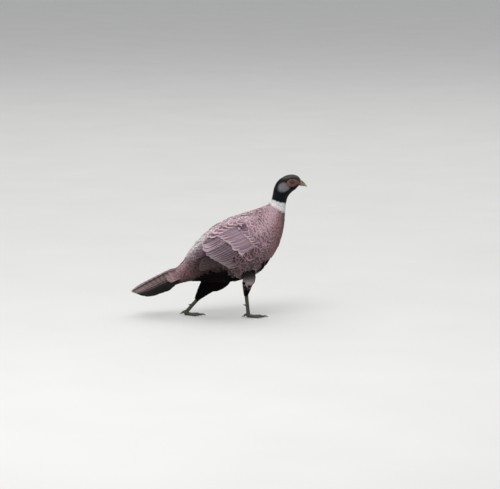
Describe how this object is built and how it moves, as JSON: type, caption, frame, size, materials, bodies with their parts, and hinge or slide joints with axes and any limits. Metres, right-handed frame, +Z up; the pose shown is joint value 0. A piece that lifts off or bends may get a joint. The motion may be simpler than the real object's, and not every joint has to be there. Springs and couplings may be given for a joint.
{
  "type": "common pheasant",
  "caption": "Still, life-size young cock pheasant in mid-stride, with folded wings and a half-grown tail, standing on both feet.",
  "frame": {"origin": "on the floor, at the middle of the bird's own length and width", "axes": "+X the way the bird walks, from its tail to its bill; +Y its left side; +Z up"},
  "size_m": [0.4698, 0.1488, 0.3793],
  "materials": {
    "plumage": "overlapping soft body feathers, dusky mauve-brown with dark edges, satin sheen",
    "collar": "short soft white feathers",
    "dark_neck": "short glossy feathers, black with a green and violet gloss",
    "wing": "stiff overlapping vanes, pinkish grey-brown with pale edges and dark bars",
    "tail": "long stiff vanes, warm brown with dark cross bars",
    "thigh": "loose dark brown feathers",
    "wattle": "bare dull red skin with fine bumps",
    "eye": "polished, amber brown round a black pupil",
    "bill": "pale horn, smooth, satin",
    "scale": "grey-brown scales, satin",
    "claw": "dark horn, satin"
  },
  "bodies": {
    "root": {"torso": "plumage", "collar": "collar", "neck": "dark_neck", "head": "dark_neck", "bill_upper": "bill", "bill_lower": "bill", "tail": "tail", "wattle_right": "wattle", "eye_right": "eye", "wing_right": "wing", "thigh_right": "thigh", "shank_right": "scale", "spur_right": "claw", "toe_middle_right": "scale", "claw_middle_right": "claw", "toe_inner_right": "scale", "claw_inner_right": "claw", "toe_outer_right": "scale", "claw_outer_right": "claw", "toe_hind_right": "scale", "claw_hind_right": "claw", "wattle_left": "wattle", "eye_left": "eye", "wing_left": "wing", "thigh_left": "thigh", "shank_left": "scale", "spur_left": "claw", "toe_middle_left": "scale", "claw_middle_left": "claw", "toe_inner_left": "scale", "claw_inner_left": "claw", "toe_outer_left": "scale", "claw_outer_left": "claw", "toe_hind_left": "scale", "claw_hind_left": "claw"}
  },
  "joints": []
}
